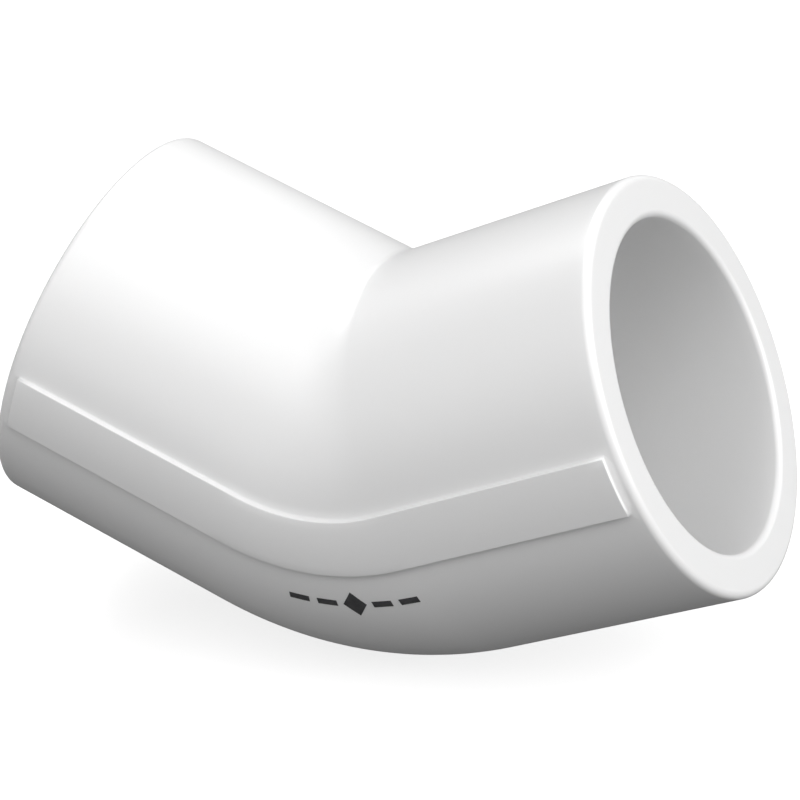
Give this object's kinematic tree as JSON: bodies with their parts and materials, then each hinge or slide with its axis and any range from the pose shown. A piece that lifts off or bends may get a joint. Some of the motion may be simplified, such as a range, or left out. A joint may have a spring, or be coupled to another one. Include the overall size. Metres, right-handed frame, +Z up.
{
  "type": "pvc conduit elbow",
  "caption": "45 degree white rigid PVC elbow with a plain slip socket on each arm for 20 mm conduit, a raised band along each side and a small printed mark.",
  "frame": {"origin": "on the surface under the heel, the outside of the bend, midway between the two sockets", "axes": "+Z up, halving the angle between the arms; +X towards the socket whose mouth the front right view shows; -Y the side with the printed mark; the bend lies in the XZ plane"},
  "size_m": [0.0496, 0.026, 0.0315],
  "materials": {
    "white_pvc": "injection moulded rigid PVC, smooth satin gloss",
    "grey_ink": "pad-printed dark grey ink"
  },
  "bodies": {
    "root": {"socket_right": "white_pvc", "socket_left": "white_pvc", "bend_body": "white_pvc", "side_band_front": "white_pvc", "side_band_back": "white_pvc", "mark_lozenge": "grey_ink", "mark_dash_left_1": "grey_ink", "mark_dash_left_2": "grey_ink", "mark_dash_right_1": "grey_ink", "mark_dash_right_2": "grey_ink"}
  },
  "joints": []
}
